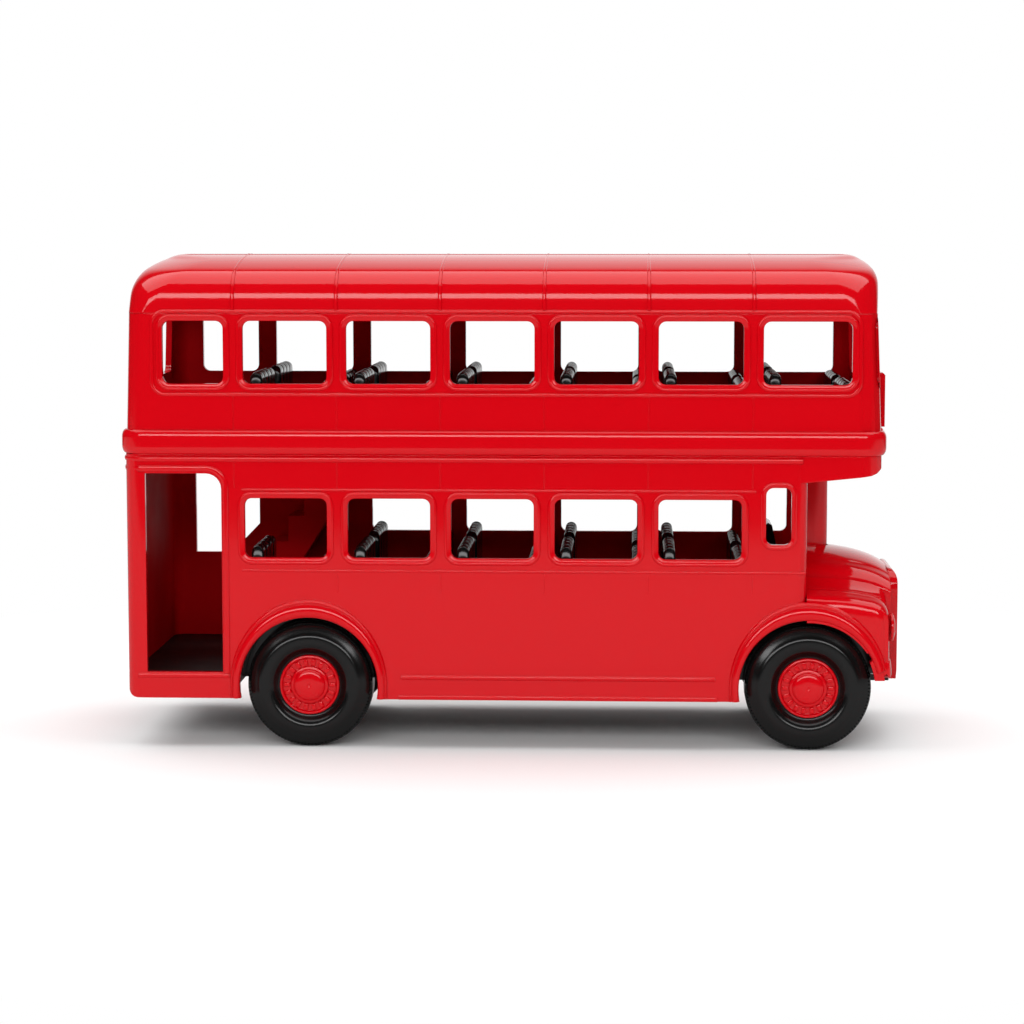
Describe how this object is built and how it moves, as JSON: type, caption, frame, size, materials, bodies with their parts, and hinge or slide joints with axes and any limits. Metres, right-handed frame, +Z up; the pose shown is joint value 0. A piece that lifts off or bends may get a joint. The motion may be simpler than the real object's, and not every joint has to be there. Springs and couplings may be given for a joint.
{
  "type": "toy double decker bus",
  "caption": "Red plastic toy double decker bus with a half cab, an open rear platform, open window frames, benches on both decks and free-rolling wheels",
  "frame": {"origin": "on the floor, under the middle of the bus's length and width, where the wheels stand at z = 0", "axes": "+X to the front of the bus, +Y to the far (driver's) side, +Z up; the open platform is on the -Y side"},
  "size_m": [0.3072, 0.1076, 0.1942],
  "materials": {
    "bus_red_plastic": "high-gloss moulded red plastic",
    "moulding_black_plastic": "glossy moulded black plastic",
    "axle_steel": "plain bright steel"
  },
  "bodies": {
    "bus_body": {"roof": "bus_red_plastic", "upper_body": "bus_red_plastic", "destination_box": "bus_red_plastic", "upper_deck": "moulding_black_plastic", "lower_body": "bus_red_plastic", "canopy": "bus_red_plastic", "staircase": "bus_red_plastic", "lower_deck": "moulding_black_plastic", "driver_seat": "moulding_black_plastic", "cab": "bus_red_plastic", "bonnet": "bus_red_plastic", "nearside_wing": "bus_red_plastic", "offside_wing": "bus_red_plastic", "radiator_grille": "bus_red_plastic", "headlamps": "bus_red_plastic", "rear_number_plate": "bus_red_plastic", "chassis": "moulding_black_plastic", "chassis_screws": "axle_steel"},
    "rear_wheelset": {"rear_axle": "axle_steel", "rear_nearside_tyre": "moulding_black_plastic", "rear_offside_tyre": "moulding_black_plastic", "rear_nearside_hub": "bus_red_plastic", "rear_offside_hub": "bus_red_plastic"},
    "front_wheelset": {"front_axle": "axle_steel", "front_nearside_tyre": "moulding_black_plastic", "front_offside_tyre": "moulding_black_plastic", "front_nearside_hub": "bus_red_plastic", "front_offside_hub": "bus_red_plastic"}
  },
  "joints": [
    {"name": "rear_axle_roll", "type": "hinge", "parent": "bus_body", "child": "rear_wheelset", "pos_m": [-0.0795, 0, 0.0248], "axis": [0, 1, 0], "continuous": true},
    {"name": "front_axle_roll", "type": "hinge", "parent": "bus_body", "child": "front_wheelset", "pos_m": [0.1166, 0, 0.0248], "axis": [0, 1, 0], "continuous": true}
  ]
}
